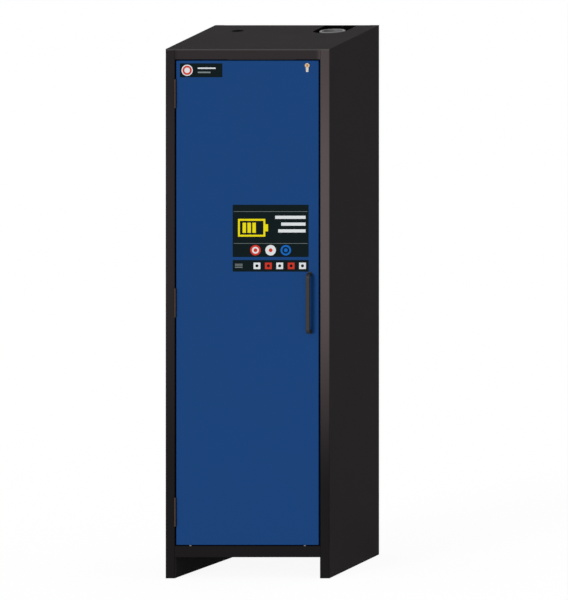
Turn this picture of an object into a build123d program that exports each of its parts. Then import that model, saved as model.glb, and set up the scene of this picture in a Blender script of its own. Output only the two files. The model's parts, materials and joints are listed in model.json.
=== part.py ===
"""One-door fire-insulated battery cabinet, built as its sheet-metal and inner pieces.

Frame: X to the right, Y to the rear, Z up, millimetres.  The origin is the middle of the
bottom of the whole object's box, which reaches from the handle's front to the rear panel.
Every piece is written as parts/NODE.step.
"""
from build123d import *
from math import asin, cos, degrees, radians, sin
import os

# ---------------------------------------------------------------- outer size
WIDTH = 599.0             # over the side panels
DEPTH = 615.0             # front of the posts to the rear
HEIGHT = 1953.0           # floor to the top panel
PLINTH_HEIGHT = 77.6      # clear height under the floor pan, for a pallet truck
POST_FACE = 33.5          # visible width of each front post
TOP_BAR_HEIGHT = 38.8     # visible height of the bar over the door
SILL_HEIGHT = 41.4        # visible height of the bar under the door
SHEET = 1.5               # thickness of the casing sheet
BEND = 3.0                # outside radius of a fold
FLANGE = 20.0             # width of the folded rear flanges

# ---------------------------------------------------------------- walls and room inside
SIDE_WALL = 74.5          # room to the outside of each side panel
TOP_WALL = 133.4          # room to the top panel's upper face
BASE_WALL = 95.0          # floor pan to the room's floor
REAR_WALL = 38.0          # room to the outside of the rear panel
LINING = 3.0              # light inner boards
REAR_LEG_SPLAY = 57.0     # how far the leg plates run inwards towards the rear
LEG_TAB = 22.0            # flat tab that the leg plate is welded by, behind the post

# ---------------------------------------------------------------- door
DOOR_THICKNESS = 50.0
SIDE_GAP = 6.0            # between the door and each post
END_GAP = 4.4             # between the door and the bars
SEAL_GAP = 5.0            # between the door and the frame behind it
DOOR_FLANGE = 20.0        # folded rear edge of the door skin
PAN_INSET = 34.0          # how far the pressed field stays inside the room's opening
PAN_RISE = 3.0            # height of the pressed field
SEAL_WIDTH = 14.0
SEAL_OVERLAP = 8.0        # seal's distance outside the room's opening
FREE_PLAY = 0.3           # clearance between bodies that pass each other
STRIP_WIDTH = 12.0        # intumescent strips
STRIP_THICKNESS = 2.0

# ---------------------------------------------------------------- hinges
HINGE_LENGTH = 105.0
HINGE_FROM_END = 121.2    # middle of the end hinges to the door's nearer end
HINGE_RADIUS = 4.0        # knuckle
HINGE_PIN_RADIUS = 2.5
HINGE_LEAF = 2.4          # leaf thickness
HINGE_LEAF_DEPTH = 40.0
HINGE_CLEARANCE = 0.05    # running fit of the pin in the door's knuckle
HINGE_PROUD = 3.3         # axis in front of the door's face
KNUCKLE_PLAY = 0.4        # between neighbouring knuckles

# ---------------------------------------------------------------- handle
HANDLE_REACH = 29.0       # front of the grip to the door's face
HANDLE_HEIGHT = 222.0
HANDLE_WIDTH = 15.7
HANDLE_DEPTH = 8.0
HANDLE_BEND = 11.0
HANDLE_FROM_EDGE = 32.0   # grip's middle to the door's right edge
HANDLE_ROSE = 2.0         # thickness of the foot discs
HANDLE_ROSE_RADIUS = 8.5

# ---------------------------------------------------------------- lock
LOCK_FROM_EDGE = 41.0     # cylinder's axis to the door's right edge
LOCK_FROM_TOP = 17.0      # cylinder's axis to the door's top edge
CYLINDER_HEAD_RADIUS = 8.5
CYLINDER_TAIL_WIDTH = 10.0
CYLINDER_HEIGHT = 33.0
CYLINDER_LENGTH = 32.0
CYLINDER_PROUD = 2.0
KEY_CORE_RADIUS = 6.5
KEYWAY_WIDTH = 2.2
KEYWAY_HEIGHT = 8.0
KEYWAY_DEPTH = 20.0
CAM_RADIUS = 13.0
CAM_HUB_RADIUS = 7.5
CAM_THICKNESS = 7.0
CAM_FINGER = 4.0
CAM_START = -50.0         # finger's angle from straight down when the bolt is drawn in
BOLT_TRAVEL = 14.0
BOLT_HEIGHT = 16.0
BOLT_THICKNESS = 6.0
BOLT_NOTCH = 13.0
CASE_WALL = 1.5
POCKET_DEPTH = 22.0       # strike box behind the slot in the right post

# ---------------------------------------------------------------- door closer, hidden in the door's top
DOOR_OPENS = 110.0        # degrees
CLOSER_AXIS = 190.0       # spindle's distance from the hinge axis along the door
CLOSER_LENGTH = 210.0
CLOSER_WIDTH = 30.0
CLOSER_HEIGHT = 48.0
CLOSER_NOSE = 45.0        # closer's end nearer the hinges, from its spindle
SPINDLE_RADIUS = 7.0
SPINDLE_CLEARANCE = 0.3
ARM_LENGTH = 240.0        # spindle to the roller
ARM_WIDTH = 18.0
ARM_THICKNESS = 2.0
ARM_ABOVE = 1.0           # arm's underside over the door's top edge
RAIL_WIDTH = 22.0
RAIL_HEIGHT = 16.0
RAIL_MOUTH = 12.0
RAIL_OVERRUN = 22.0       # rail beyond the roller's ends of travel

# ---------------------------------------------------------------- openings in the top
RECESS_WIDTH = 118.0
RECESS_FROM_SIDE = 136.0  # recess's middle line to the right side
RECESS_LENGTH = 208.0     # recess's round front end to the rear edge
RECESS_DEPTH = 62.0
SPIGOT_FROM_SIDE = 129.5  # spigot's axis to the right side
SPIGOT_FROM_BACK = 140.0
SPIGOT_RADIUS = 37.5      # outside of the tube through the top wall
SPIGOT_WALL = 1.5
SPIGOT_SOCKET = 45.5      # outside of the socket that stands in the recess
SPIGOT_BORE = 37.6        # bore of the socket, for a 75 mm duct
SPIGOT_BASE = 50.0        # radius of the base ring on the tray
SPIGOT_STOP = 8.0         # ledge in the socket, above the tray, that a duct goes down to
DAMPER_THICKNESS = 2.0
DAMPER_PIN = 2.5
CABLE_FROM_SIDE = 126.5   # cable entry's axis to the left side
CABLE_FROM_BACK = 151.0
CABLE_RADIUS = 22.0       # bushing's flange
CABLE_BORE = 15.0
CABLE_WALL = 2.0          # bushing's wall inside the board
CABLE_LIP = 1.5           # bushing's flange above the top and below the ceiling

# ---------------------------------------------------------------- inner fittings
LEVELS = 4                # levels for batteries: the sump's grid and the shelves over it
STRIP_LEVELS = 3          # levels with a socket strip, from the lowest
SHELF_HEIGHT = 30.0
SHELF_SHEET = 1.2
SHELF_SIDE_PLAY = 18.0    # shelf's edge to the lining, room for uprights and hooks
SHELF_FRONT = 26.0        # shelf's front edge behind the frame
SHELF_BACK = 78.0         # shelf's rear edge before the rear lining, room for socket strips
SLOT_WIDTH = 12.0
SLOT_COLUMNS = 4
SLOT_ROWS = 9
SLOT_WEB = 14.0           # steel left between the slots of a row
SLOT_MARGIN = 25.0        # steel left at the front and rear of the slotted field
UPRIGHT_WIDTH = 30.0
UPRIGHT_DEPTH = 12.0
UPRIGHT_SETBACK = 70.0    # upright's middle from the shelf's nearer edge
UPRIGHT_SLOT_PITCH = 50.0
HOOK_WIDTH = 20.0
HOOK_LEDGE = 20.0
HOOK_HEIGHT = 24.0
SUMP_HEIGHT = 60.0        # to the top of the grid laid on the sump
GRID_SHEET = 2.4
SUMP_WALL = 2.0
SUMP_PLAY = 6.0           # between the sump's walls and the linings
GRID_MARGIN = 1.0         # the grid's edge outside the sump's wall
STRIP_BODY_LENGTH = 330.0
STRIP_BODY_HEIGHT = 46.0
STRIP_BODY_DEPTH = 42.0
SOCKET_COUNT = 4
SOCKET_RADIUS = 17.0
SOCKET_DEPTH = 12.0
SOCKET_PROUD = 1.0        # socket's face in front of the strip's
CONTACT_RADIUS = 2.4
CONTACT_SPREAD = 9.5      # contact holes either side of the socket's middle
EARTH_OFFSET = 5.0        # earth hole below the other two
STRIP_ABOVE = 190.0       # socket strip's middle over its shelf
ROCKER_HUB_RADIUS = 2.0
ROCKER_WIDTH = 14.0
ROCKER_HEIGHT = 22.0
ROCKER_RADIUS = 9.0
ROCKER_TILT = 8.0
GRILLE_RADIUS = 52.0
GRILLE_THICKNESS = 5.0
GRILLE_SLOTS = 5

# ---------------------------------------------------------------- levelling feet
FOOT_RADIUS = 13.0
FOOT_THICKNESS = 8.0
FOOT_REST = 1.0           # the feet are screwed in this far above the floor
FOOT_STEM_RADIUS = 5.0
FOOT_STEM_CLEARANCE = 0.08
FOOT_STEM_HEIGHT = 72.0
FOOT_FROM_FRONT = 30.0
FOOT_FROM_BACK = 34.0
FOOT_BRACKET_HEIGHT = 44.0
FOOT_BRACKET_LENGTH = 44.0
FOOT_BRACKET_THICKNESS = 6.0

# ---------------------------------------------------------------- planes worked out from them
half = WIDTH / 2
front = HANDLE_REACH - (DEPTH + HANDLE_REACH) / 2
back = front + DEPTH
post_edge = half - POST_FACE
sill_top = PLINTH_HEIGHT + SILL_HEIGHT
bar_bottom = HEIGHT - TOP_BAR_HEIGHT
door_half = post_edge - SIDE_GAP
door_bottom = sill_top + END_GAP
door_top = bar_bottom - END_GAP
door_middle = (door_bottom + door_top) / 2
door_back = front + DOOR_THICKNESS
frame_front = door_back + SEAL_GAP
frame_back = frame_front + SHEET
inside_half = half - SIDE_WALL
inside_floor = PLINTH_HEIGHT + BASE_WALL
inside_top = HEIGHT - TOP_WALL
inside_back = back - REAR_WALL
rear_sheet = back - 2 * SHEET
hinge_x = -(post_edge + door_half) / 2
hinge_y = front - HINGE_PROUD
lock_x = door_half - LOCK_FROM_EDGE
lock_z = door_top - LOCK_FROM_TOP
recess_x = half - RECESS_FROM_SIDE
recess_arc_y = back - RECESS_LENGTH + RECESS_WIDTH / 2
spigot_x = half - SPIGOT_FROM_SIDE
spigot_y = back - SPIGOT_FROM_BACK
spigot_seat = HEIGHT - RECESS_DEPTH
damper_z = (inside_top + spigot_seat) / 2
cable_x = CABLE_FROM_SIDE - half
cable_y = back - CABLE_FROM_BACK
shelf_half = inside_half - SHELF_SIDE_PLAY
shelf_front = frame_back + SHELF_FRONT
shelf_back = inside_back - SHELF_BACK


closer_x = hinge_x + CLOSER_AXIS
closer_y = front + DOOR_THICKNESS / 2


# ---------------------------------------------------------------- helpers
def block(x0, x1, y0, y1, z0, z1):
    """A rectangular block between two corners."""
    return Pos(x0, y0, z0) * Box(x1 - x0, y1 - y0, z1 - z0, align=(Align.MIN,) * 3)


def rod(radius, height, place=Location(), base=Align.MIN):
    """A round bar along the local Z axis."""
    return place * Cylinder(radius, height, align=(Align.CENTER, Align.CENTER, base))


def folded(points, length, plane=Plane.XY, thickness=SHEET, side=Side.LEFT):
    """Sheet folded along a line of points, its outer face on them, and `length` long."""
    path = FilletPolyline(*points, radius=BEND)
    outline = Wire(path.edges()).offset_2d(thickness, side=side, closed=True)
    return extrude(plane * make_face(outline), amount=length)


def mirrored(solid):
    """The same piece for the other side of the cabinet."""
    return mirror(solid, about=Plane.YZ)


def facing_front(x, y, z):
    """A place whose local Z points out of the cabinet's front and local Y up."""
    return Plane(origin=(x, y, z), x_dir=(1, 0, 0), z_dir=(0, -1, 0)).location


def along_x(x, y, z):
    """A place whose local Z runs along the cabinet's width."""
    return Plane(origin=(x, y, z), x_dir=(0, 1, 0), z_dir=(1, 0, 0))


def frame_ring(half_width, bottom, top, band, y0, y1):
    """A flat rectangular ring in the front's plane, `band` wide, outside the given opening."""
    outer = block(-half_width - band, half_width + band, y0, y1, bottom - band, top + band)
    return outer - block(-half_width, half_width, y0, y1, bottom, top)


# ---------------------------------------------------------------- casing
def side_panel():
    """Left side: rear flange, outer wall, post and the post's inner return, down to the floor."""
    points = [(FLANGE - half, back), (-half, back), (-half, front), (-post_edge, front),
              (-post_edge, frame_back)]
    return folded(points, HEIGHT - SHEET)


def bolt_slot():
    """Opening in the right post's return that the lock's bolt enters."""
    height = BOLT_HEIGHT + 2 * FREE_PLAY + 4
    middle = bolt_middle()
    return block(post_edge - SHEET - 1, post_edge + SHEET + 1, bolt_y() - 6, bolt_y() + BOLT_THICKNESS + 6,
                 middle - height / 2, middle + height / 2)


def strike_box():
    """Pocket of bent sheet behind the slot in the right post."""
    middle = bolt_middle()
    reach = BOLT_HEIGHT / 2 + 6
    outer = block(post_edge + SHEET, post_edge + SHEET + POCKET_DEPTH, bolt_y() - 8,
                  bolt_y() + BOLT_THICKNESS + 8, middle - reach, middle + reach)
    inner = block(post_edge, post_edge + POCKET_DEPTH, bolt_y() - 8 + SHEET,
                  bolt_y() + BOLT_THICKNESS + 8 - SHEET, middle - reach + SHEET, middle + reach - SHEET)
    return outer - inner


def recess_outline(radius_offset=0.0):
    """U-shape in the top, round at its front end and open at the rear."""
    radius = RECESS_WIDTH / 2 - radius_offset
    place = Pos(recess_x, recess_arc_y)
    return place * Circle(radius) + place * Rectangle(2 * radius, DEPTH, align=(Align.CENTER, Align.MIN))


def before_rear():
    """All that lies in front of the rear folds, in plan."""
    return Pos(0, back - BEND) * Rectangle(2 * WIDTH, 2 * DEPTH, align=(Align.CENTER, Align.MAX))


def top_panel():
    """Top plate with the bar folded down over the door, the recess and the cable entry cut out."""
    points = [(frame_back, bar_bottom), (front, bar_bottom), (front, HEIGHT), (back, HEIGHT),
              (back, HEIGHT - FLANGE)]
    panel = folded(points, 2 * post_edge, along_x(-post_edge, 0, 0), side=Side.RIGHT)
    for edge in (-half, post_edge):
        panel += block(edge, edge + POST_FACE, front + BEND, back - BEND, HEIGHT - SHEET, HEIGHT)
        panel += block(edge, edge + POST_FACE, front, back, HEIGHT - SHEET, HEIGHT)
    panel -= rail_slot()
    panel -= extrude(Pos(0, 0, HEIGHT - FLANGE) * (recess_outline() & before_rear()), amount=2 * FLANGE)
    panel -= rod(CABLE_BORE + CABLE_WALL, 4 * SHEET, Pos(cable_x, cable_y, HEIGHT - 2 * SHEET))
    return panel


def recess_tray():
    """Pan under the U-shaped cut-out, open to the rear, with a hole for the exhaust tube."""
    floor = HEIGHT - SHEET - RECESS_DEPTH
    tray = extrude(Pos(0, 0, floor) * (recess_outline(-SHEET) & before_rear()), amount=RECESS_DEPTH)
    tray -= extrude(Pos(0, 0, floor + SHEET) * recess_outline(), amount=RECESS_DEPTH)
    return tray - rod(SPIGOT_RADIUS, 3 * SHEET, Pos(spigot_x, spigot_y, floor - SHEET))


def rear_panel():
    """Flat rear sheet behind the flanges, closing the recess tray's rear end too."""
    return block(-half + BEND, half - BEND, rear_sheet, back - SHEET, PLINTH_HEIGHT, HEIGHT - BEND)


def sill():
    """Channel under the door: top ledge, visible bar and bottom ledge."""
    points = [(frame_back, PLINTH_HEIGHT), (front, PLINTH_HEIGHT), (front, sill_top), (frame_back, sill_top)]
    return folded(points, 2 * post_edge, along_x(-post_edge, 0, 0), side=Side.RIGHT)


def floor_pan():
    """Sheet under the base board."""
    return block(-half + SHEET, half - SHEET, frame_back, rear_sheet, PLINTH_HEIGHT, PLINTH_HEIGHT + SHEET)


def leg_plate():
    """Left inner face of the plinth: a tab behind the post, then splayed inwards to the rear."""
    rear_x = -post_edge + REAR_LEG_SPLAY
    points = [(-post_edge, front + BEND), (-post_edge, front + LEG_TAB), (rear_x, rear_sheet),
              (-half + BEND, rear_sheet)]
    return folded(points, PLINTH_HEIGHT, side=Side.RIGHT)


def front_frame():
    """Steel face round the opening, which the door's seal closes on."""
    plate = block(-post_edge, post_edge, frame_front, frame_back, sill_top, bar_bottom)
    return plate - block(-inside_half, inside_half, frame_front, frame_back, inside_floor, inside_top)


def frame_strips():
    """Intumescent strips on the frame, just outside the seal."""
    inner = SEAL_OVERLAP + SEAL_WIDTH + STRIP_THICKNESS
    return frame_ring(inside_half + inner, inside_floor - inner, inside_top + inner, STRIP_WIDTH,
                      frame_front - STRIP_THICKNESS, frame_front)


# ---------------------------------------------------------------- insulation and lining
def insulation_side():
    """Left insulation board, from the frame to the rear board."""
    return block(-half + SHEET, -inside_half - LINING, frame_back, inside_back + LINING,
                 PLINTH_HEIGHT + SHEET, HEIGHT - SHEET)


def insulation_rear():
    board = block(-half + SHEET, half - SHEET, inside_back + LINING, rear_sheet,
                  PLINTH_HEIGHT + SHEET, HEIGHT - SHEET)
    return board - tray_room()


def tray_room():
    """Space that the recess tray takes out of the boards."""
    floor = HEIGHT - SHEET - RECESS_DEPTH
    return extrude(Pos(0, 0, floor) * recess_outline(-SHEET), amount=RECESS_DEPTH)


def insulation_top():
    """Top board, hollowed for the recess, the exhaust tube and the cable entry."""
    board = block(-inside_half - LINING, inside_half + LINING, frame_back, inside_back + LINING,
                  inside_top + LINING, HEIGHT - SHEET)
    depth = HEIGHT - inside_top
    board -= tray_room()
    board -= rod(SPIGOT_RADIUS, depth, Pos(spigot_x, spigot_y, inside_top))
    return board - rod(CABLE_BORE + CABLE_WALL, depth, Pos(cable_x, cable_y, inside_top))


def insulation_base():
    return block(-inside_half - LINING, inside_half + LINING, frame_back, inside_back + LINING,
                 PLINTH_HEIGHT + SHEET, inside_floor - LINING)


def lining_side():
    return block(-inside_half - LINING, -inside_half, frame_back, inside_back, inside_floor, inside_top)


def lining_rear():
    return block(-inside_half - LINING, inside_half + LINING, inside_back, inside_back + LINING,
                 inside_floor - LINING, inside_top + LINING)


def lining_top():
    """Ceiling board, open under the exhaust tube and the cable entry."""
    board = block(-inside_half - LINING, inside_half + LINING, frame_back, inside_back,
                  inside_top, inside_top + LINING)
    board -= rod(SPIGOT_RADIUS, 3 * LINING, Pos(spigot_x, spigot_y, inside_top - LINING))
    return board - rod(CABLE_BORE + CABLE_WALL, 3 * LINING, Pos(cable_x, cable_y, inside_top - LINING))


def lining_base():
    return block(-inside_half - LINING, inside_half + LINING, frame_back, inside_back,
                 inside_floor - LINING, inside_floor)


# ---------------------------------------------------------------- openings in the top
def exhaust_spigot():
    """Tube from the ceiling to the top's level, with the collar that seats on the tray."""
    inner = SPIGOT_RADIUS - SPIGOT_WALL
    seat = spigot_seat
    profile = Polyline((inner, inside_top), (SPIGOT_RADIUS, inside_top), (SPIGOT_RADIUS, seat),
                       (SPIGOT_BASE, seat), (SPIGOT_BASE, seat + 3), (SPIGOT_SOCKET + 3, seat + 5),
                       (SPIGOT_SOCKET, seat + 12), (SPIGOT_SOCKET, HEIGHT - 2), (SPIGOT_SOCKET - 2, HEIGHT),
                       (SPIGOT_BORE + 1, HEIGHT), (SPIGOT_BORE, HEIGHT - 1), (SPIGOT_BORE, seat + SPIGOT_STOP),
                       (inner, seat + SPIGOT_STOP), close=True)
    body = Pos(spigot_x, spigot_y, 0) * revolve(Plane.XZ * make_face(profile), Axis.Z)
    return body - rod(DAMPER_PIN + HINGE_CLEARANCE, 2 * SPIGOT_RADIUS + SHEET,
                      Location(along_x(spigot_x, spigot_y, damper_z)), Align.CENTER)


def damper_flap():
    """Round flap on a cross pin, upright while air flows and level when a fire shuts it."""
    place = Location(along_x(spigot_x, spigot_y, damper_z))
    inner = SPIGOT_RADIUS - SPIGOT_WALL
    upright = facing_front(spigot_x, spigot_y, damper_z)
    flap = rod(inner - 2 * FREE_PLAY, DAMPER_THICKNESS, upright, Align.CENTER)
    return flap + rod(DAMPER_PIN, 2 * (SPIGOT_RADIUS - FREE_PLAY), place, Align.CENTER)


def exhaust_grille():
    """Slotted disc under the ceiling where the air leaves the room."""
    disc = rod(GRILLE_RADIUS, GRILLE_THICKNESS, Pos(spigot_x, spigot_y, inside_top - GRILLE_THICKNESS))
    disc = chamfer(disc.faces().sort_by(Axis.Z)[0].outer_wire().edges(), GRILLE_THICKNESS / 3)
    pitch = 2 * SPIGOT_RADIUS / (GRILLE_SLOTS + 1)
    for number in range(GRILLE_SLOTS):
        offset = (number - (GRILLE_SLOTS - 1) / 2) * pitch
        length = 2 * (SPIGOT_RADIUS ** 2 - offset ** 2) ** 0.5 - 2 * pitch / 3
        slot = SlotOverall(length, pitch / 2)
        disc -= extrude(Pos(spigot_x, spigot_y + offset, inside_top - 2 * GRILLE_THICKNESS) * slot,
                        amount=3 * GRILLE_THICKNESS)
    return disc


def cable_bushing():
    """Rubber bushing through the whole top wall for the supply lead."""
    outer = CABLE_BORE + CABLE_WALL
    bottom = inside_top - CABLE_LIP
    top = HEIGHT + CABLE_LIP
    profile = Polyline((CABLE_BORE, bottom), (CABLE_RADIUS, bottom), (CABLE_RADIUS, inside_top),
                       (outer, inside_top), (outer, HEIGHT), (CABLE_RADIUS, HEIGHT),
                       (CABLE_RADIUS - CABLE_LIP, top), (CABLE_BORE, top), close=True)
    return Pos(cable_x, cable_y, 0) * revolve(Plane.XZ * make_face(profile), Axis.Z)


# ---------------------------------------------------------------- door
def cylinder_outline(clearance=0.0):
    """Profile-cylinder shape: round head over a narrow tail, about the key's axis."""
    tail = CYLINDER_HEIGHT - CYLINDER_HEAD_RADIUS
    width = CYLINDER_TAIL_WIDTH + 2 * clearance
    slot = Pos(0, -(tail + clearance) / 2) * Rectangle(width, tail + clearance)
    slot = fillet(slot.vertices().sort_by(Axis.Y)[:2], width / 2 - 0.5)
    return Circle(CYLINDER_HEAD_RADIUS + clearance) + slot


def lock_hole(depth):
    """The cylinder's opening, from in front of the door's face to `depth` behind it."""
    return extrude(facing_front(lock_x, front + depth, lock_z) * cylinder_outline(FREE_PLAY),
                   amount=depth + CYLINDER_PROUD)


def bolt_y():
    """Front face of the bolt, in the cam's plane."""
    return front + CYLINDER_LENGTH - CYLINDER_PROUD + FREE_PLAY + (CAM_THICKNESS - BOLT_THICKNESS) / 2


def bolt_middle():
    """Height of the bolt's middle, where the cam's finger reaches into its notch."""
    return lock_z - CAM_HUB_RADIUS - FREE_PLAY - BOLT_HEIGHT / 2


def case_span():
    """Corners of the lock case: X, Y and Z limits of its outside."""
    return (lock_x - 26, door_half - SHEET, bolt_y() - 4, bolt_y() + CAM_THICKNESS + 4,
            lock_z - 42, door_top - SHEET)


def door_skin():
    """Blue tray: front, four folded sides and the rear flanges."""
    outer = block(-door_half, door_half, front, door_back, door_bottom, door_top)
    outer = fillet(outer.faces().sort_by(Axis.Y)[0].edges() + outer.edges().filter_by(Axis.Y), BEND / 2)
    inner = block(SHEET - door_half, door_half - SHEET, front + SHEET, door_back - SHEET,
                  door_bottom + SHEET, door_top - SHEET)
    rear = block(DOOR_FLANGE - door_half, door_half - DOOR_FLANGE, front + SHEET, door_back,
                 door_bottom + DOOR_FLANGE, door_top - DOOR_FLANGE)
    skin = outer - inner - rear - lock_hole(2 * SHEET) - spindle_hole()
    middle = bolt_middle()
    reach = BOLT_HEIGHT / 2 + FREE_PLAY
    return skin - block(door_half - 2 * SHEET, door_half + SHEET, bolt_y() - FREE_PLAY,
                        bolt_y() + BOLT_THICKNESS + FREE_PLAY, middle - reach, middle + reach)


def door_core():
    """Insulation slab that fills the tray, with a pocket for the lock."""
    slab = block(SHEET - door_half, door_half - SHEET, front + SHEET, door_back - SHEET,
                 door_bottom + SHEET, door_top - SHEET)
    x0, x1, y0, y1, z0, z1 = case_span()
    return slab - block(x0, x1, y0, y1, z0, z1) - lock_hole(CYLINDER_LENGTH) - closer_room(FREE_PLAY)


def door_cover():
    """Light inner cover between the flanges, with a pressed field that stiffens it."""
    x = door_half - DOOR_FLANGE
    z0 = door_bottom + DOOR_FLANGE
    z1 = door_top - DOOR_FLANGE
    cover = block(-x, x, door_back - SHEET, door_back, z0, z1)
    field = Rectangle(2 * (inside_half - PAN_INSET), inside_top - inside_floor - 2 * PAN_INSET)
    behind = Plane(origin=(0, door_back, (inside_floor + inside_top) / 2), x_dir=(1, 0, 0), z_dir=(0, 1, 0))
    return cover + extrude(behind * fillet(field.vertices(), PAN_INSET), amount=PAN_RISE, taper=30)


def door_seal():
    """Rubber seal round the door's inner side, just touching the frame."""
    ring = frame_ring(inside_half + SEAL_OVERLAP, inside_floor - SEAL_OVERLAP, inside_top + SEAL_OVERLAP,
                      SEAL_WIDTH, door_back, frame_front - FREE_PLAY)
    rear_edges = ring.faces().sort_by(Axis.Y)[-1].edges()
    return fillet(rear_edges, SEAL_GAP / 4)


def handle_grip():
    """Bow handle: an oval-edged bar bent back to the door at both ends."""
    z0 = door_middle - HANDLE_HEIGHT / 2 + HANDLE_DEPTH / 2
    z1 = door_middle + HANDLE_HEIGHT / 2 - HANDLE_DEPTH / 2
    grip_y = front - HANDLE_REACH + HANDLE_DEPTH / 2
    x = door_half - HANDLE_FROM_EDGE
    start = front - HANDLE_ROSE
    path = FilletPolyline((x, start, z0), (x, grip_y, z0), (x, grip_y, z1), (x, start, z1), radius=HANDLE_BEND)
    section = RectangleRounded(HANDLE_WIDTH, HANDLE_DEPTH, HANDLE_DEPTH / 2.6)
    return sweep(facing_front(x, start, z0) * section, path=path)


def handle_roses():
    """Two foot discs between the grip and the door."""
    discs = []
    for side in (-1, 1):
        z = door_middle + side * (HANDLE_HEIGHT - HANDLE_DEPTH) / 2
        disc = rod(HANDLE_ROSE_RADIUS, HANDLE_ROSE, facing_front(door_half - HANDLE_FROM_EDGE, front, z))
        discs.append(chamfer(disc.edges().group_by(Axis.Y)[0], HANDLE_ROSE / 3))
    return Compound(children=discs)


# ---------------------------------------------------------------- hinges
def hinge_heights():
    """Middle height of each hinge."""
    return [door_bottom + HINGE_FROM_END, door_middle, door_top - HINGE_FROM_END]


def knuckle(z0, z1, bore):
    return rod(HINGE_RADIUS, z1 - z0, Pos(hinge_x, hinge_y, z0)) - rod(bore, z1 - z0, Pos(hinge_x, hinge_y, z0))


def leaf(face_x, towards, z0, z1):
    """Flat leaf against a wall at face_x, its neck reaching the knuckle."""
    inner = face_x + towards * HINGE_LEAF
    x0, x1 = sorted((face_x, inner))
    plate_front = hinge_y + HINGE_RADIUS + KNUCKLE_PLAY
    plate = block(x0, x1, plate_front, front + HINGE_LEAF_DEPTH, z0, z1)
    neck = block(x0, x1, hinge_y, plate_front, z0, z1)
    return plate, neck - rod(HINGE_PIN_RADIUS + HINGE_CLEARANCE, z1 - z0, Pos(hinge_x, hinge_y, z0))


def hinge_leaves(on_door):
    """Three leaves with their knuckles: the frame has the end thirds, the door the middle one."""
    leaves = []
    for middle in hinge_heights():
        bottom = middle - HINGE_LENGTH / 2
        third = HINGE_LENGTH / 3
        if on_door:
            spans = [(bottom + third + KNUCKLE_PLAY, bottom + 2 * third - KNUCKLE_PLAY)]
            face, towards, bore = -door_half, -1, HINGE_PIN_RADIUS + HINGE_CLEARANCE
        else:
            spans = [(bottom, bottom + third), (bottom + 2 * third, bottom + HINGE_LENGTH)]
            face, towards, bore = -post_edge, 1, HINGE_PIN_RADIUS
        plate = leaf(face, towards, bottom, bottom + HINGE_LENGTH)[0]
        for z0, z1 in spans:
            plate += leaf(face, towards, z0, z1)[1]
            plate += knuckle(z0, z1, bore)
        leaves.append(plate)
    return Compound(children=leaves)


def hinge_pins():
    """Three pins with a small head on top."""
    pins = []
    for middle in hinge_heights():
        pin = rod(HINGE_PIN_RADIUS, HINGE_LENGTH, Pos(hinge_x, hinge_y, middle - HINGE_LENGTH / 2))
        head = rod(HINGE_RADIUS - 0.5, 2, Pos(hinge_x, hinge_y, middle + HINGE_LENGTH / 2))
        pins.append(pin + chamfer(head.edges().group_by(Axis.Z)[-1], 0.8))
    return Compound(children=pins)


# ---------------------------------------------------------------- lock
def lock_cylinder():
    """Half profile cylinder with the bore that the key core turns in."""
    back_end = front + CYLINDER_LENGTH - CYLINDER_PROUD
    place = facing_front(lock_x, back_end, lock_z)
    body = extrude(place * cylinder_outline(), amount=CYLINDER_LENGTH)
    return body - rod(KEY_CORE_RADIUS + HINGE_CLEARANCE, CYLINDER_LENGTH, place)


def key_core():
    """Turning core with its keyway, and the cam behind the cylinder that drives the bolt."""
    back_end = front + CYLINDER_LENGTH - CYLINDER_PROUD
    place = facing_front(lock_x, back_end, lock_z)
    core = rod(KEY_CORE_RADIUS, CYLINDER_LENGTH, place)
    keyway = Rectangle(KEYWAY_WIDTH, KEYWAY_HEIGHT)
    core -= extrude(facing_front(lock_x, front - CYLINDER_PROUD + KEYWAY_DEPTH, lock_z) * keyway,
                    amount=KEYWAY_DEPTH)
    cam_place = facing_front(lock_x, back_end + FREE_PLAY + CAM_THICKNESS, lock_z)
    core += rod(KEY_CORE_RADIUS - 2, FREE_PLAY, facing_front(lock_x, back_end + FREE_PLAY, lock_z))
    finger = Rot(0, 0, CAM_START) * Pos(0, -CAM_RADIUS / 2) * Rectangle(CAM_FINGER, CAM_RADIUS)
    return core + extrude(cam_place * (Circle(CAM_HUB_RADIUS - FREE_PLAY) + finger), amount=CAM_THICKNESS)


def lock_case():
    """Folded case round the cam and the bolt, open where the cylinder and the bolt pass."""
    x0, x1, y0, y1, z0, z1 = case_span()
    case = block(x0, x1, y0, y1, z0, z1)
    case -= block(x0 + CASE_WALL, x1 - CASE_WALL, y0 + CASE_WALL, y1 - CASE_WALL, z0 + CASE_WALL, z1 - CASE_WALL)
    case -= lock_hole(CYLINDER_LENGTH + 2)
    middle = bolt_middle()
    reach = BOLT_HEIGHT / 2 + FREE_PLAY
    return case - block(x1 - 2 * CASE_WALL, x1 + CASE_WALL, bolt_y() - FREE_PLAY,
                        bolt_y() + BOLT_THICKNESS + FREE_PLAY, middle - reach, middle + reach)


def lock_bolt():
    """Sliding bolt with the notch for the cam's finger, drawn in."""
    middle = bolt_middle()
    tip = door_half - FREE_PLAY
    tail = lock_x - 22
    bolt = block(tail, tip, bolt_y(), bolt_y() + BOLT_THICKNESS, middle - BOLT_HEIGHT / 2, middle + BOLT_HEIGHT / 2)
    notch_x = lock_x + CAM_RADIUS * sin(radians(CAM_START)) + 2
    notch = block(notch_x - BOLT_NOTCH / 2, notch_x + BOLT_NOTCH / 2, bolt_y(), bolt_y() + BOLT_THICKNESS,
                  lock_z - CAM_RADIUS - 2, middle + BOLT_HEIGHT)
    return chamfer((bolt - notch).edges().filter_by(Axis.Z).group_by(Axis.X)[-1], 1)


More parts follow.
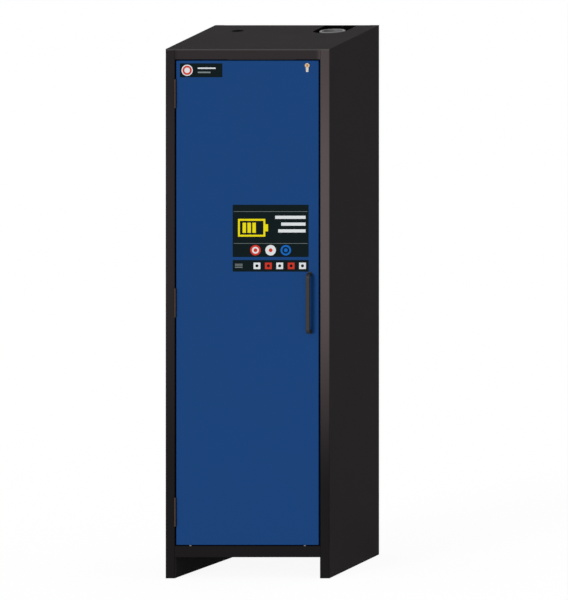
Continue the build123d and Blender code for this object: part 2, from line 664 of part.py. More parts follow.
# ---------------------------------------------------------------- door closer
def arm_turn():
    """Degrees the arm turns on the door while the door opens, its roller staying under the rail."""
    swing = radians(DOOR_OPENS)
    offset = closer_y - hinge_y
    rise = offset + CLOSER_AXIS * sin(swing) - offset * cos(swing)
    return DOOR_OPENS + degrees(asin(rise / ARM_LENGTH))


def roller_span():
    """Roller's places along the width with the door shut and with it open."""
    swing = radians(DOOR_OPENS)
    arm = radians(arm_turn() - DOOR_OPENS)
    spindle = CLOSER_AXIS * cos(swing) + (closer_y - hinge_y) * sin(swing)
    return closer_x + ARM_LENGTH, hinge_x + spindle + ARM_LENGTH * cos(arm)


def closer_room(play):
    """Space for the closer's body in the door's top edge."""
    x0 = closer_x - CLOSER_NOSE
    top = door_top - SHEET
    return block(x0 - play, x0 + CLOSER_LENGTH + play, closer_y - CLOSER_WIDTH / 2 - play,
                 closer_y + CLOSER_WIDTH / 2 + play, top - CLOSER_HEIGHT - play, top)


def spindle_hole():
    return rod(SPINDLE_RADIUS + SPINDLE_CLEARANCE, CLOSER_HEIGHT, Pos(closer_x, closer_y, door_top - CLOSER_HEIGHT / 2))


def closer_body():
    """Closer's cast housing in the door, rounded lengthwise, with the spindle's bore."""
    body = closer_room(0)
    body = chamfer(body.edges().filter_by(Axis.X).group_by(Axis.Z)[0], CLOSER_WIDTH / 6)
    return body - spindle_hole()


def closer_arm():
    """Flat arm in the gap over the door, its spindle in the closer and its roller under the rail."""
    z = door_top + ARM_ABOVE
    outline = Pos(ARM_LENGTH / 2, 0) * SlotOverall(ARM_LENGTH + ARM_WIDTH, ARM_WIDTH)
    arm = Pos(closer_x, closer_y, z) * extrude(outline, amount=ARM_THICKNESS)
    depth = CLOSER_HEIGHT / 2 - 1
    return arm + rod(SPINDLE_RADIUS, depth + z - door_top, Pos(closer_x, closer_y, door_top - depth))


def rail_slot():
    """Rail's mouth through the top bar's lower flange."""
    shut, opened = roller_span()
    x0, x1 = sorted((shut, opened))
    return block(x0 - RAIL_OVERRUN + SHEET, x1 + RAIL_OVERRUN - SHEET, closer_y - RAIL_MOUTH / 2,
                 closer_y + RAIL_MOUTH / 2, bar_bottom - 1, bar_bottom + 2 * SHEET)


def closer_rail():
    """Guide channel for the roller, on the flange inside the top bar."""
    shut, opened = roller_span()
    x0, x1 = sorted((shut, opened))
    base = bar_bottom + SHEET
    rail = block(x0 - RAIL_OVERRUN, x1 + RAIL_OVERRUN, closer_y - RAIL_WIDTH / 2, closer_y + RAIL_WIDTH / 2,
                 base, base + RAIL_HEIGHT)
    rail = chamfer(rail.edges().filter_by(Axis.X).group_by(Axis.Z)[-1], SHEET)
    return rail - block(x0 - RAIL_OVERRUN + SHEET, x1 + RAIL_OVERRUN - SHEET, closer_y - RAIL_MOUTH / 2,
                        closer_y + RAIL_MOUTH / 2, base, base + RAIL_HEIGHT - 2 * SHEET)


# ---------------------------------------------------------------- inner fittings
def shelf_top(level):
    """Height of the load surface on the given level; level 0 is the grid over the sump."""
    pitch = (inside_top - inside_floor - SUMP_HEIGHT) / LEVELS
    return inside_floor + SUMP_HEIGHT + level * pitch


def slot_field(z, depth):
    """Rows of air slots across a shelf or the sump's grid."""
    slots = []
    pitch_x = 2 * (shelf_half - SLOT_WEB) / SLOT_COLUMNS
    pitch_y = (shelf_back - shelf_front - 2 * SLOT_MARGIN) / SLOT_ROWS
    for column in range(SLOT_COLUMNS):
        for row in range(SLOT_ROWS):
            x = (column - (SLOT_COLUMNS - 1) / 2) * pitch_x
            y = (shelf_front + shelf_back) / 2 + (row - (SLOT_ROWS - 1) / 2) * pitch_y
            slots.append(Pos(x, y, z) * extrude(SlotOverall(pitch_x - SLOT_WEB, SLOT_WIDTH), amount=depth))
    return slots


def shelf(level):
    """Slotted steel shelf: flat field with edges folded down."""
    top = shelf_top(level)
    tray = block(-shelf_half, shelf_half, shelf_front, shelf_back, top - SHELF_HEIGHT, top)
    tray = fillet(tray.edges().filter_by(Axis.Z), BEND)
    tray -= block(-shelf_half + SHELF_SHEET, shelf_half - SHELF_SHEET, shelf_front + SHELF_SHEET,
                  shelf_back - SHELF_SHEET, top - SHELF_HEIGHT, top - SHELF_SHEET)
    return tray - slot_field(top - 2 * SHELF_SHEET, 3 * SHELF_SHEET)


def upright_places():
    """Middle of the front and rear uprights along the depth."""
    return [shelf_front + UPRIGHT_SETBACK, shelf_back - UPRIGHT_SETBACK]


def uprights():
    """Two slotted channels on the left lining."""
    pieces = []
    for y in upright_places():
        channel = block(-inside_half, -inside_half + UPRIGHT_DEPTH, y - UPRIGHT_WIDTH / 2, y + UPRIGHT_WIDTH / 2,
                        inside_floor + SUMP_HEIGHT + SHELF_HEIGHT, inside_top - SHELF_HEIGHT)
        channel -= block(-inside_half, -inside_half + UPRIGHT_DEPTH - SHEET, y - UPRIGHT_WIDTH / 2 + SHEET,
                         y + UPRIGHT_WIDTH / 2 - SHEET, inside_floor, inside_top)
        slots = int((inside_top - shelf_top(0)) / UPRIGHT_SLOT_PITCH) - 2
        for number in range(slots):
            z = shelf_top(0) + (number + 1.5) * UPRIGHT_SLOT_PITCH
            channel -= block(-inside_half, -inside_half + 2 * UPRIGHT_DEPTH, y - 2, y + 2, z - 8, z + 8)
        pieces.append(channel)
    return Compound(children=pieces)


def shelf_hooks():
    """Angle hooks on the uprights under each shelf, on both sides."""
    hooks = []
    for level in range(1, LEVELS):
        ledge = shelf_top(level) - SHELF_HEIGHT
        for y in upright_places():
            x = -inside_half + UPRIGHT_DEPTH
            points = [(x, ledge - HOOK_HEIGHT), (x, ledge), (x + HOOK_LEDGE, ledge)]
            plane = Plane(origin=(0, y + HOOK_WIDTH / 2, 0), x_dir=(1, 0, 0), z_dir=(0, -1, 0))
            hook = folded(points, HOOK_WIDTH, plane, side=Side.RIGHT)
            hooks += [hook, mirrored(hook)]
    return Compound(children=hooks)


def sump_tray():
    """Leak-proof tray on the room's floor, its corners folded square and welded."""
    x = inside_half - SUMP_PLAY
    y0 = frame_back + SUMP_PLAY
    y1 = inside_back - SUMP_PLAY
    tray = block(-x, x, y0, y1, inside_floor, inside_floor + SUMP_HEIGHT - GRID_SHEET)
    return tray - block(SUMP_WALL - x, x - SUMP_WALL, y0 + SUMP_WALL, y1 - SUMP_WALL, inside_floor + SUMP_WALL,
                        inside_floor + SUMP_HEIGHT)


def sump_grid():
    """Slotted sheet laid on the sump tray's rim."""
    top = shelf_top(0)
    edge = SUMP_PLAY - GRID_MARGIN
    sheet = block(edge - inside_half, inside_half - edge, frame_back + edge, inside_back - edge,
                  top - GRID_SHEET, top)
    return sheet - slot_field(top - 2 * GRID_SHEET, 3 * GRID_SHEET)


def strip_heights():
    return [shelf_top(level) + STRIP_ABOVE for level in range(STRIP_LEVELS)]


def socket_strips():
    """Long boxes on the rear lining with round seats for the sockets and a rocker's opening."""
    strips = []
    face = inside_back - STRIP_BODY_DEPTH
    for z in strip_heights():
        body = block(-STRIP_BODY_LENGTH / 2, STRIP_BODY_LENGTH / 2, face, inside_back,
                     z - STRIP_BODY_HEIGHT / 2, z + STRIP_BODY_HEIGHT / 2)
        body = fillet(body.edges().filter_by(Axis.X).group_by(Axis.Y)[0], 5)
        for x in socket_places():
            body -= rod(SOCKET_RADIUS, SOCKET_DEPTH, facing_front(x, face + SOCKET_DEPTH, z))
        body -= block(rocker_x() - ROCKER_WIDTH / 2 - 0.5, rocker_x() + ROCKER_WIDTH / 2 + 0.5, face,
                      face + ROCKER_RADIUS + ROCKER_HUB_RADIUS + 0.5, z - ROCKER_HEIGHT / 2 - 1,
                      z + ROCKER_HEIGHT / 2 + 1)
        strips.append(body)
    return Compound(children=strips)


def socket_places():
    """Socket middles along a strip; the rocker has the place after the last one."""
    pitch = STRIP_BODY_LENGTH / (SOCKET_COUNT + 1)
    return [(number - SOCKET_COUNT / 2) * pitch for number in range(SOCKET_COUNT)]


def rocker_x():
    return (SOCKET_COUNT / 2) * STRIP_BODY_LENGTH / (SOCKET_COUNT + 1)


def socket_inserts():
    """Round sockets seated in the strips, each with two contact holes and an earth hole."""
    inserts = []
    face = inside_back - STRIP_BODY_DEPTH
    holes = [(-CONTACT_SPREAD, 0), (0, -EARTH_OFFSET), (CONTACT_SPREAD, 0)]
    for z in strip_heights():
        for x in socket_places():
            disc = rod(SOCKET_RADIUS, SOCKET_DEPTH + SOCKET_PROUD, facing_front(x, face + SOCKET_DEPTH, z))
            disc = chamfer(disc.edges().group_by(Axis.Y)[0], SOCKET_PROUD / 2)
            for hole_x, hole_z in holes:
                disc -= rod(CONTACT_RADIUS, SOCKET_DEPTH, facing_front(x + hole_x, face + SOCKET_DEPTH / 2,
                                                                      z + hole_z))
            inserts.append(disc)
    return Compound(children=inserts)


def rocker(level):
    """Rocker of a socket strip, turning about a cross pin, with the lower half pressed in."""
    face = inside_back - STRIP_BODY_DEPTH
    z = strip_heights()[level]
    pivot = face + ROCKER_RADIUS
    outline = make_face(Polyline((-ROCKER_HEIGHT / 2, 0), (-ROCKER_HEIGHT / 2 + 1, 9), (0, 7.6),
                                 (ROCKER_HEIGHT / 2 - 1, 9), (ROCKER_HEIGHT / 2, 0), close=True))
    side = Plane(origin=(rocker_x() - ROCKER_WIDTH / 2, pivot, z), x_dir=(0, 0, 1), z_dir=(1, 0, 0))
    hub = rod(ROCKER_HUB_RADIUS, ROCKER_WIDTH, Location(along_x(rocker_x(), pivot, z)), Align.CENTER)
    return hub + extrude(side * (Rot(0, 0, -ROCKER_TILT) * outline), amount=ROCKER_WIDTH)


# ---------------------------------------------------------------- levelling feet
def foot_places():
    """Name and place of each levelling foot."""
    places = {}
    middle = (half + post_edge) / 2
    for x, side in ((-middle, "left"), (middle, "right")):
        places["foot_front_" + side] = (x, front + FOOT_FROM_FRONT)
        places["foot_rear_" + side] = (x, back - FOOT_FROM_BACK)
    return places


def levelling_foot(x, y):
    """Round foot with a stem."""
    foot = rod(FOOT_RADIUS, FOOT_THICKNESS, Pos(x, y, FOOT_REST))
    foot = chamfer(foot.edges().group_by(Axis.Z)[-1], FOOT_THICKNESS / 3)
    return foot + rod(FOOT_STEM_RADIUS, FOOT_STEM_HEIGHT, Pos(x, y, FOOT_REST))


def foot_brackets():
    """Plates welded inside the legs, bored for the feet's stems."""
    plates = []
    for x, y in foot_places().values():
        width = POST_FACE - 2 * SHEET
        plate = block(x - width / 2, x + width / 2, y - FOOT_BRACKET_LENGTH / 2, y + FOOT_BRACKET_LENGTH / 2,
                      FOOT_BRACKET_HEIGHT, FOOT_BRACKET_HEIGHT + FOOT_BRACKET_THICKNESS)
        bore = rod(FOOT_STEM_RADIUS + FOOT_STEM_CLEARANCE, 20, Pos(x, y, FOOT_BRACKET_HEIGHT - 1))
        plates.append(plate - bore)
    return Compound(children=plates)


# ---------------------------------------------------------------- the pieces by name
def all_pieces():
    pieces = {
        "side_panel_left": side_panel(),
        "side_panel_right": mirrored(side_panel()) - bolt_slot(),
        "top_panel": top_panel(),
        "rear_panel": rear_panel(),
        "sill": sill(),
        "floor_pan": floor_pan(),
        "leg_plate_left": leg_plate(),
        "leg_plate_right": mirrored(leg_plate()),
        "front_frame": front_frame(),
        "frame_fire_strips": frame_strips(),
        "recess_tray": recess_tray(),
        "insulation_left": insulation_side(),
        "insulation_right": mirrored(insulation_side()),
        "insulation_rear": insulation_rear(),
        "insulation_top": insulation_top(),
        "insulation_base": insulation_base(),
        "lining_left": lining_side(),
        "lining_right": mirrored(lining_side()),
        "lining_rear": lining_rear(),
        "lining_top": lining_top(),
        "lining_base": lining_base(),
        "exhaust_spigot": exhaust_spigot(),
        "damper_flap": damper_flap(),
        "exhaust_grille": exhaust_grille(),
        "cable_bushing": cable_bushing(),
        "strike_box": strike_box(),
        "door_skin": door_skin(),
        "door_core": door_core(),
        "door_cover": door_cover(),
        "door_seal": door_seal(),
        "closer_body": closer_body(),
        "closer_arm": closer_arm(),
        "closer_rail": closer_rail(),
        "handle_grip": handle_grip(),
        "handle_roses": handle_roses(),
        "hinge_frame_leaves": hinge_leaves(on_door=False),
        "hinge_door_leaves": hinge_leaves(on_door=True),
        "hinge_pins": hinge_pins(),
        "lock_cylinder": lock_cylinder(),
        "key_core": key_core(),
        "lock_case": lock_case(),
        "lock_bolt": lock_bolt(),
        "uprights_left": uprights(),
        "uprights_right": mirrored(uprights()),
        "shelf_hooks": shelf_hooks(),
        "sump_tray": sump_tray(),
        "sump_grid": sump_grid(),
        "socket_strips": socket_strips(),
        "socket_inserts": socket_inserts(),
        "foot_brackets": foot_brackets(),
    }
    for level in range(1, LEVELS):
        pieces["shelf_" + str(level)] = shelf(level)
    for level in range(STRIP_LEVELS):
        pieces["rocker_" + str(level + 1)] = rocker(level)
    for name, (x, y) in foot_places().items():
        pieces[name] = levelling_foot(x, y)
    return pieces


os.makedirs("parts", exist_ok=True)
for name, piece in all_pieces().items():
    export_step(piece, "parts/" + name + ".step")
    print(name)
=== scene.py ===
# %% [markdown]
# # A battery cabinet, dressed for its portrait
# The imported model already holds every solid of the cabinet: casing, insulated door, shelves, closer
# and lock. This lesson gives each of them its finish, adds the small things that are too thin or too
# small to be solids of their own, and sets up floor, light and camera.

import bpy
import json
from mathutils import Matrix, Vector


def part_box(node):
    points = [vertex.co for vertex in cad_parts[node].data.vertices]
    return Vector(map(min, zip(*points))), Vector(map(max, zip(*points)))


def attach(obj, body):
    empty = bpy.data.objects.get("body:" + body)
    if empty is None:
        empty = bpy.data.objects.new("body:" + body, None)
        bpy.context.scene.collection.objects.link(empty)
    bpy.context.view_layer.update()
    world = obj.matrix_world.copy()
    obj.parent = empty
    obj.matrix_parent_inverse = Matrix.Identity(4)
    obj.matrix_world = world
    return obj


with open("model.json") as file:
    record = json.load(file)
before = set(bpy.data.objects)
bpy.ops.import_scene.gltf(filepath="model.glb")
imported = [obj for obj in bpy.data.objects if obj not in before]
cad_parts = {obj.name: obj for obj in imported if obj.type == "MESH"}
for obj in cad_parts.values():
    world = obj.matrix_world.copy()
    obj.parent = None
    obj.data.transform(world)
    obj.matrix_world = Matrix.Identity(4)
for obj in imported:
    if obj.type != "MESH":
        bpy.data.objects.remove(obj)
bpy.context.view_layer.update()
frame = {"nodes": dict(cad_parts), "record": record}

# %% Libraries and the main places
import json
import math

import bpy
from mathutils import Matrix, Vector

MM = 0.001
box_of = {name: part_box(name) for name in frame["nodes"]}
front = box_of["side_panel_left"][0].y
back = box_of["side_panel_left"][1].y
half = box_of["side_panel_right"][1].x
height = box_of["top_panel"][1].z
door_low, door_high = box_of["door_skin"]
print("door", round(door_high.x - door_low.x, 4), "x", round(door_high.z - door_low.z, 4), "m")

# %% [markdown]
# ## Shader maths as plain expressions
# A finish is a small sum: a base colour, a little cloudiness, a fine grain. The nodes could be added
# and linked one by one, but that hides the sum. So one class wraps a node's output and lets Python's
# own signs add the Math nodes, and its method "node" adds any other kind.

# %% A wire between shader nodes


class Wire:
    """One output of a shader node; arithmetic on it adds Math nodes."""

    def __init__(self, tree, socket=None):
        self.tree = tree
        self.socket = socket

    def node(self, kind, settings=(), values=(), output=0):
        """Adds a node of any type: settings first, then the values or wires of its sockets."""
        made = self.tree.nodes.new(kind)
        for key, value in dict(settings).items():
            setattr(made, key, value)
        for key, value in dict(values).items():
            if isinstance(value, Wire):
                self.tree.links.new(value.socket, made.inputs[key])
            else:
                made.inputs[key].default_value = value
        return Wire(self.tree, made.outputs[output])

    def sibling(self, output):
        """Another output of the same node."""
        return Wire(self.tree, self.socket.node.outputs[output])

    def math(self, operation, *others):
        """A Math node on this wire and on other wires or numbers."""
        return self.node("ShaderNodeMath", {"operation": operation}, enumerate((self, *others)))

    def __add__(self, other):
        return self.math("ADD", other)

    def __sub__(self, other):
        return self.math("SUBTRACT", other)

    def __mul__(self, other):
        return self.math("MULTIPLY", other)

    def __rsub__(self, other):
        return self * -1 + other

    __radd__ = __add__
    __rmul__ = __mul__


print("wires ready")

# %% [markdown]
# ## What every finish starts from
# A real surface is never one flat value: its colour and gloss drift over a hand's width and change
# again from grain to grain. A picture of such a surface would stretch and show seams. Noise that reads
# the object's own coordinates has neither, and its scale is simply in grains per metre.

# %% Helpers for every finish
COLOUR_LOW, COLOUR_HIGH, COLOUR_OUT = 6, 7, 2     # a Mix node's sockets for colours


def rgb(red, green, blue):
    """A screen colour, 0 to 255, as the linear colour that a shader takes (the sRGB curve)."""
    linear = [((c / 255 + 0.055) / 1.055) ** 2.4 if c > 10 else c / 255 / 12.92
              for c in (red, green, blue)]
    return (*linear, 1.0)


def shade(colour, factor):
    """The same colour, darker below 1 and lighter above it."""
    return (*[c * factor for c in colour[:3]], 1.0)


def start_finish(name, **sockets):
    """A new material, its shader and the wire of the object's own coordinates."""
    material = bpy.data.materials.new(name)
    material.use_nodes = True
    shader = material.node_tree.nodes["Principled BSDF"]
    for socket, value in sockets.items():
        shader.inputs[socket.replace("_", " ")].default_value = value
    place = Wire(material.node_tree).node("ShaderNodeTexCoord", output="Object")
    return material, shader, place


def feed(shader, **wires):
    """Links wires to the shader's sockets by name, with _ for a space."""
    for socket, wire in wires.items():
        wire.tree.links.new(wire.socket, shader.inputs[socket.replace("_", " ")])


def noise(place, scale, detail=2.0, stretch=(1, 1, 1)):
    """A noise value from 0 to 1, with scale in grains per metre."""
    spread = place.node("ShaderNodeMapping", {}, {"Vector": place, "Scale": stretch})
    return place.node("ShaderNodeTexNoise", {},
                      {"Vector": spread, "Scale": scale, "Detail": detail})


def mix(factor, low, high):
    """The colour between two colours."""
    return factor.node("ShaderNodeMix", {"data_type": "RGBA"},
                       {"Factor": factor, COLOUR_LOW: low, COLOUR_HIGH: high}, output=COLOUR_OUT)


def bump(relief, strength, distance):
    """A normal that follows a height from 0 to 1, over a distance in metres."""
    return relief.node("ShaderNodeBump", {},
                       {"Height": relief, "Strength": strength, "Distance": distance})


print("helpers ready")

# %% [markdown]
# ## Powder coat
# Casing, door and inner steelwork are powder coated. The coat is a few hundredths of a millimetre
# thick and has a fine orange peel; the dark casing's is the coarser, matt one, the door's is smoother.
# A flat colour would look like plastic, so one function makes them all from a cloudy colour, a cloudy
# gloss and a fine grain in the surface. The casing takes changes of tone on top. Its front faces are
# lighter than its sides, most of all the right post at mid height, and darker towards the floor, and
# the folded edge along the top is lighter. These are no wear in the coat: they stand in for soft light
# from the side, which a plain studio does not give, and they stay whatever light falls on the cabinet.
# The recess in the top is black inside: a painted shade that stands in for the deep shadow in it. All
# are masks on the coordinates, because each of these faces belongs to a solid that is the plain dark
# colour elsewhere.

# %% Coated steel


def powder_coat(name, colour, gloss, grain, relief, specular, toned=None):
    """A coat from its colour, roughness, grains per metre and depth of orange peel."""
    material, shader, place = start_finish(name, Specular_IOR_Level=specular)
    cloud = noise(place, 4.0, 3.0)
    speck = noise(place, grain)
    coat = mix(cloud * 0.5 + speck * 0.5, shade(colour, 0.9), shade(colour, 1.1))
    feed(shader,
         Base_Color=toned(place, coat) if toned else coat,
         Roughness=cloud * 0.08 + (gloss - 0.04),
         Normal=bump(speck, relief, 0.0002))
    return material


def ramp(value, low, high):
    """0 below low, 1 above high and a soft rise between them."""
    return value.node("ShaderNodeMapRange", {"interpolation_type": "SMOOTHSTEP"},
                      {"Value": value, "From Min": low, "From Max": high})


def axes(place):
    """The three coordinates of a place, each as its own wire."""
    split = place.node("ShaderNodeSeparateXYZ", {}, {"Vector": place})
    return [split.sibling(n) for n in range(3)]


def within(value, low, high, soft_low, soft_high):
    """1 from low to high, with a soft border outside each."""
    return ramp(value, low - soft_low, low) * (1 - ramp(value, high, high + soft_high))


print("masks along an axis ready")

# %% Tones of the casing
# Painted light: the front faces are lighter, most of all the right post at mid height, and darker
# towards the floor; a painted highlight runs along the top fold.
FRONT_UPPER, FRONT_LOWER = rgb(90, 81, 82), rgb(30, 28, 29)
FOLD_EDGE, RECESS_PAINTED_SHADE = rgb(88, 86, 86), rgb(9, 9, 9)
FRONT_SKIN = (1.5 * MM, 3 * MM)            # depth over which the front faces' tone ends
LIT_FROM, LIT_TO = 0.3, 1.15               # heights over which the front grows lighter
FADE_FROM, FADE_SHARE = 1.5, 0.3           # where it falls off again, and how far it falls
POST_INNER, POST_OUTER = 50 * MM, 30 * MM  # from the side, where a post's tone changes
LEFT_LIGHT, BAR_EXTRA, RIGHT_EXTRA = 0.16, 0.16, 0.68
FOLD_FROM, FOLD_TO, FOLD_SHARE = 6 * MM, 3 * MM, 0.6   # below the top edge
RECESS_REAR = back - 2.6 * MM              # the black ends just before the rear sheet
RECESS_RIM = height - 1.4 * MM             # and just under the top's upper face


def casing_tone(place, coat):
    """The casing's coat with painted light on its front faces and painted shade in its black recess."""
    x, y, z = axes(place)
    on_front = 1 - ramp(y, front + FRONT_SKIN[0], front + FRONT_SKIN[1])
    side_light = (ramp(x, half - POST_INNER, half - POST_OUTER) * RIGHT_EXTRA
                  + ramp(x, POST_OUTER - half, POST_INNER - half) * BAR_EXTRA + LEFT_LIGHT)
    lit = ramp(z, LIT_FROM, LIT_TO) * (1 - ramp(z, FADE_FROM, height) * FADE_SHARE) * side_light
    on_fold = ramp(z, height - FOLD_FROM, height - FOLD_TO)
    faces = mix(on_fold * FOLD_SHARE, mix(lit, FRONT_LOWER, FRONT_UPPER), FOLD_EDGE)
    # Painted shade: the inside of the recess turns black, standing in for its deep shadow.
    tray_low, tray_high = box_of["recess_tray"]
    in_recess = (within(x, tray_low.x, tray_high.x, 1 * MM, 1 * MM)
                 * within(y, tray_low.y, RECESS_REAR, 1 * MM, 0.8 * MM)
                 * within(z, tray_low.z, RECESS_RIM, 2 * MM, 0.5 * MM))
    return mix(in_recess, mix(on_front, coat, faces), RECESS_PAINTED_SHADE)


casing_coat = powder_coat("anthracite powder coat", rgb(44, 41, 42), 0.7, 900.0, 0.35, 0.015,
                          casing_tone)
# The recess tray's black is painted shade, standing in for the deep shadow in the recess.
recess_painted_shade = powder_coat("painted shade of the recess", RECESS_PAINTED_SHADE, 0.8, 900.0, 0.35, 0.01)
door_coat = powder_coat("gentian blue powder coat", rgb(21, 66, 123), 0.55, 700.0, 0.2, 0.05)
cover_coat = powder_coat("light grey powder coat", rgb(196, 198, 198), 0.5, 700.0, 0.2, 0.3)
shelf_coat = powder_coat("shelf grey powder coat", rgb(184, 187, 189), 0.46, 700.0, 0.2, 0.35)
print("five coats")

# %% [markdown]
# ## Boards, strips and rubber
# The walls and the door are filled with pressed mineral fibre, seen only at its cut edges, and the
# room is lined with a smooth resin-faced board. Strips that swell in a fire are a brownish felt, and
# the seal is black rubber. All are matt and a little fibrous, so they share one function instead of
# one each. Its noise is squeezed upright, so that the fibres lie level, and the four differ only in
# colour, in the fineness of the fibre and in relief.

# %% Boards


def fibre_board(name, light, dark, scale, relief, specular=0.2):
    """A matt board, felt or rubber between two colours, with fibres of a given fineness."""
    material, shader, place = start_finish(name, Specular_IOR_Level=specular)
    fibres = noise(place, scale, 5.0, (1.0, 1.0, 5.0))
    patches = noise(place, 12.0, 3.0)
    feed(shader,
         Base_Color=mix(fibres * 0.7 + patches * 0.3, dark, light),
         Roughness=patches * 0.1 + 0.78,
         Normal=bump(fibres, relief, 0.0006))
    return material


insulation_board = fibre_board("mineral fibre board", rgb(226, 222, 210), rgb(186, 180, 166),
                               240.0, 0.6)
lining_board = fibre_board("resin-faced lining board", rgb(222, 224, 223), rgb(208, 210, 209),
                           90.0, 0.12)
swelling_strip = fibre_board("swelling fire strip", rgb(96, 76, 68), rgb(74, 58, 52), 600.0, 0.5)
black_rubber = fibre_board("black rubber", rgb(22, 22, 23), rgb(13, 13, 14), 400.0, 0.25, 0.02)
print("boards, strip and rubber")

# %% [markdown]
# ## Metals and plastics
# Turned and ground metal shows fine lines along the way it was worked; moulded plastic only a faint
# cloudiness. Lines could be drawn as a texture of stripes, but those repeat. The same noise as before,
# stretched along one axis for each metal, gives lines that never do.

# %% Metal with a grain and moulded plastic


def ground_metal(name, colour, gloss, stretch, relief=0.15):
    """A metal whose grain is finest along the axis with the largest stretch."""
    material, shader, place = start_finish(name, Metallic=1.0)
    lines = noise(place, 300.0, 3.0, stretch)
    patches = noise(place, 30.0, 2.0)
    feed(shader,
         Base_Color=mix(lines * 0.6 + patches * 0.4, shade(colour, 0.88), shade(colour, 1.08)),
         Roughness=lines * 0.16 + (gloss - 0.08),
         Normal=bump(lines, relief, 0.0001))
    return material


def moulded(name, colour, gloss, specular=0.4):
    """A plastic with a faint cloud and a very fine moulded skin."""
    material, shader, place = start_finish(name, Specular_IOR_Level=specular)
    cloud = noise(place, 25.0, 2.0)
    speck = noise(place, 1200.0)
    feed(shader,
         Base_Color=mix(cloud, shade(colour, 0.94), shade(colour, 1.05)),
         Roughness=cloud * 0.06 + (gloss - 0.03),
         Normal=bump(speck, 0.12, 0.0001))
    return material


hinge_steel = ground_metal("brownish passivated steel", rgb(62, 52, 48), 0.5, (1, 1, 12))
blackened_steel = ground_metal("blackened steel", rgb(42, 41, 42), 0.5, (12, 1, 1))
satin_nickel = ground_metal("satin nickel", rgb(158, 150, 142), 0.3, (8, 1, 1))
brushed_brass = ground_metal("brushed brass", rgb(168, 128, 84), 0.3, (1, 8, 1))
zinc_steel = ground_metal("zinc-plated steel", rgb(190, 190, 188), 0.4, (1, 1, 6))
anodised = ground_metal("anodised aluminium", rgb(200, 202, 205), 0.42, (12, 1, 1))
handle_grey = moulded("satin dark grey handle", rgb(42, 44, 47), 0.42, 0.15)
spigot_grey = moulded("mid grey plastic", rgb(116, 116, 118), 0.45)
socket_white = moulded("off-white plastic", rgb(226, 226, 222), 0.3)
rocker_red = moulded("clear red rocker", rgb(172, 28, 20), 0.2)
print("metals and plastics")

# %% [markdown]
# ## One finish for every solid
# The cabinet's parts list says of each piece what it is made of. Going through that list is safer than
# dressing sixty pieces by hand: none is forgotten, and a new one gets the right finish by itself. Only
# the tray in the top's recess differs from its neighbours, which are coated in the casing's colour: it
# is black, a painted shade for the recess's deep shadow.

# %% Give every solid its finish
finish_of_slot = {
    "casing_black": casing_coat, "door_blue": door_coat, "cover_grey": cover_coat,
    "shelf_grey": shelf_coat, "board": insulation_board, "lining": lining_board,
    "fire_strip": swelling_strip, "seal_rubber": black_rubber, "handle_grey": handle_grey,
    "hinge_steel": hinge_steel, "lock_nickel": satin_nickel, "lock_brass": brushed_brass,
    "spigot_grey": spigot_grey, "socket_white": socket_white, "strip_grey": anodised,
    "rocker_red": rocker_red, "foot_steel": zinc_steel, "closer_black": blackened_steel,
}
# The tray in the recess takes the black of painted shade instead of its slot's finish.
for subpart in frame["record"]["subparts"]:
    node, slot = subpart["node"], subpart["material_slot"]
    finishes = frame["nodes"][node].data.materials
    finishes.clear()
    finishes.append(recess_painted_shade if node == "recess_tray" else finish_of_slot[slot])
print(len(frame["nodes"]), "solids finished")

# %% [markdown]
# ## Modelling helpers
# The remaining pieces start from a cube or a cylinder and are shaped in edit mode. An operator acts on
# all that is selected, so each helper first clears the selection and then picks edges or faces by their
# place. Each piece is finished with its object at the origin and its place in its mesh, like a solid's,
# so that a finish on the object's coordinates does not slide.

# %% Start, shape and settle a piece


def start_piece():
    """Leaves nothing selected."""
    bpy.ops.object.select_all(action="DESELECT")


def settle(name, body, material):
    """Names the active piece, moves its place into its mesh and hangs it on its body."""
    piece = bpy.context.object
    piece.name = name
    bpy.ops.object.transform_apply(location=True, rotation=True, scale=True)
    piece.data.materials.clear()
    piece.data.materials.append(material)
    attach(piece, body)
    return piece


def start_block(low, high):
    """A cube stretched between two corners, given in metres."""
    start_piece()
    low, high = Vector(low), Vector(high)
    bpy.ops.mesh.primitive_cube_add(size=1, location=(low + high) / 2)
    bpy.context.object.scale = high - low
    bpy.ops.object.transform_apply(location=False, rotation=False, scale=True)


def clear_choice(kind):
    """Leaves the active mesh with none of its parts chosen, ready to choose edges or faces."""
    bpy.ops.object.mode_set(mode="EDIT")
    bpy.ops.mesh.select_mode(type=kind)
    bpy.ops.mesh.select_all(action="DESELECT")
    bpy.ops.object.mode_set(mode="OBJECT")


def pick_edges(test):
    """Enters edit mode with only the edges chosen whose two ends pass the test."""
    clear_choice("EDGE")
    mesh = bpy.context.object.data
    for edge in mesh.edges:
        a, b = (mesh.vertices[n].co for n in edge.vertices)
        edge.select = bool(test(a, b))
    bpy.ops.object.mode_set(mode="EDIT")


def pick_faces(test):
    """Enters edit mode with only the faces chosen whose normal passes the test."""
    clear_choice("FACE")
    for face in bpy.context.object.data.polygons:
        face.select = bool(test(face.normal))
    bpy.ops.object.mode_set(mode="EDIT")


def bevel(width, segments):
    """Rounds the chosen edges and leaves edit mode."""
    bpy.ops.mesh.bevel(offset=width, segments=segments, affect="EDGES")
    bpy.ops.object.mode_set(mode="OBJECT")


print("modelling helpers ready")

# %% [markdown]
# ## Printed films on the door
# The door carries three dark self-adhesive films: a large one above the handle, a narrow one below
# that and a small one at the top corner. Each is a thin sheet with rounded corners. Their print is
# neutral: a charge gauge, rings, squares and bars. It could be raised geometry, but ink has no height,
# or a picture, but that blurs when seen close. So the finish draws it from simple masks on the film's
# own coordinates, with edges that stay sharp.

# %% Masks for print
FILM_DARK = rgb(12, 24, 26)
INK_WHITE, INK_GREY = rgb(224, 228, 230), rgb(128, 138, 138)
INK_YELLOW, INK_RED, INK_BLUE = rgb(236, 222, 20), rgb(206, 56, 42), rgb(24, 104, 190)


